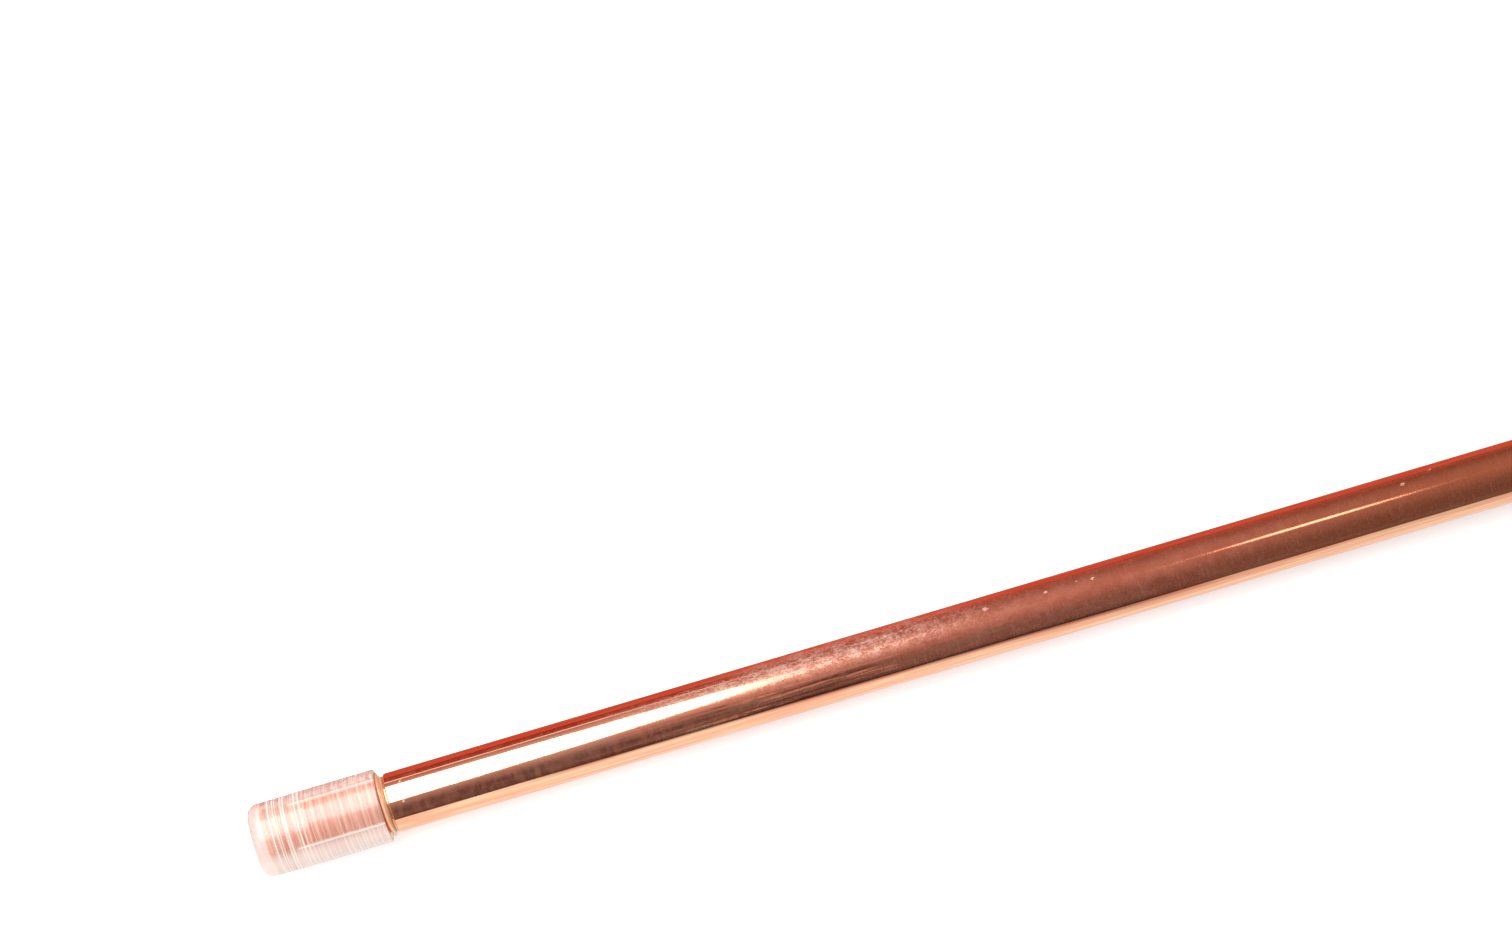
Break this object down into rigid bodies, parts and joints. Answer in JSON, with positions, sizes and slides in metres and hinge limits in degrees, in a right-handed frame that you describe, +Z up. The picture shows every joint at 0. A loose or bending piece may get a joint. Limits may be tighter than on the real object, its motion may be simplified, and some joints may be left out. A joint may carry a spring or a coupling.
{
  "type": "earth rod",
  "caption": "Copper-bonded steel earth rod: round shank, rolled coupling thread under a push-on translucent thread cap, plain square-cut far end; driven into soil as an earth electrode.",
  "frame": {"origin": "on the rod's axis, where the plain shank meets the thread", "axes": "+X along the rod's axis from the thread towards the plain end, +Z up as the rod lies level"},
  "size_m": [1.2029, 0.0174, 0.0174],
  "materials": {
    "copper": "polished, with light tarnish",
    "clear_plastic": "translucent, slightly frosted"
  },
  "bodies": {
    "root": {"rod": "copper", "thread_cap": "clear_plastic"}
  },
  "joints": []
}
